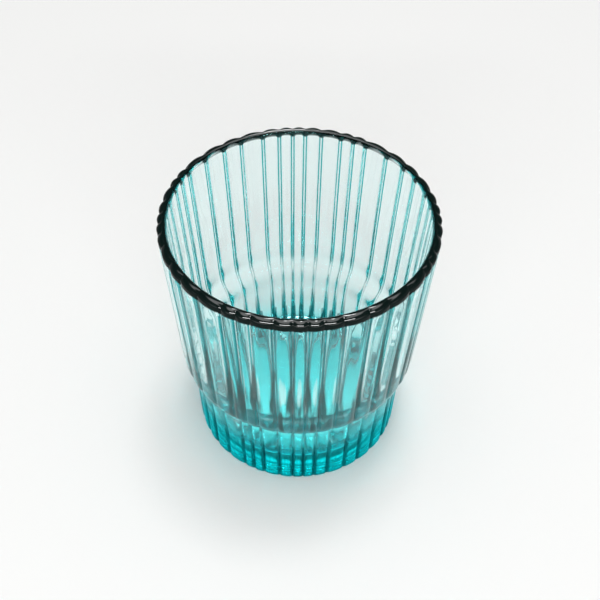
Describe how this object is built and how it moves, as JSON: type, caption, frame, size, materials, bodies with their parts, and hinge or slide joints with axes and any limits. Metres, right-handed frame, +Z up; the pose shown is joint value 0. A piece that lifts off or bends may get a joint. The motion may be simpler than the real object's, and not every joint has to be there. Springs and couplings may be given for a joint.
{
  "type": "drinking glass",
  "caption": "Short round tumbler of clear teal glass with uneven vertical flutes, a rounded notched rim and a shoulder above a narrower fluted foot.",
  "frame": {"origin": "centre of the foot at the height of the face it rests on", "axes": "+Z up along the axis of the glass, from the foot to the rim; the picture was taken looking along +Y and down"},
  "size_m": [0.085, 0.085, 0.09],
  "materials": {
    "teal_glass": "clear, fire-polished"
  },
  "bodies": {
    "root": {"tumbler_glass": "teal_glass"}
  },
  "joints": []
}
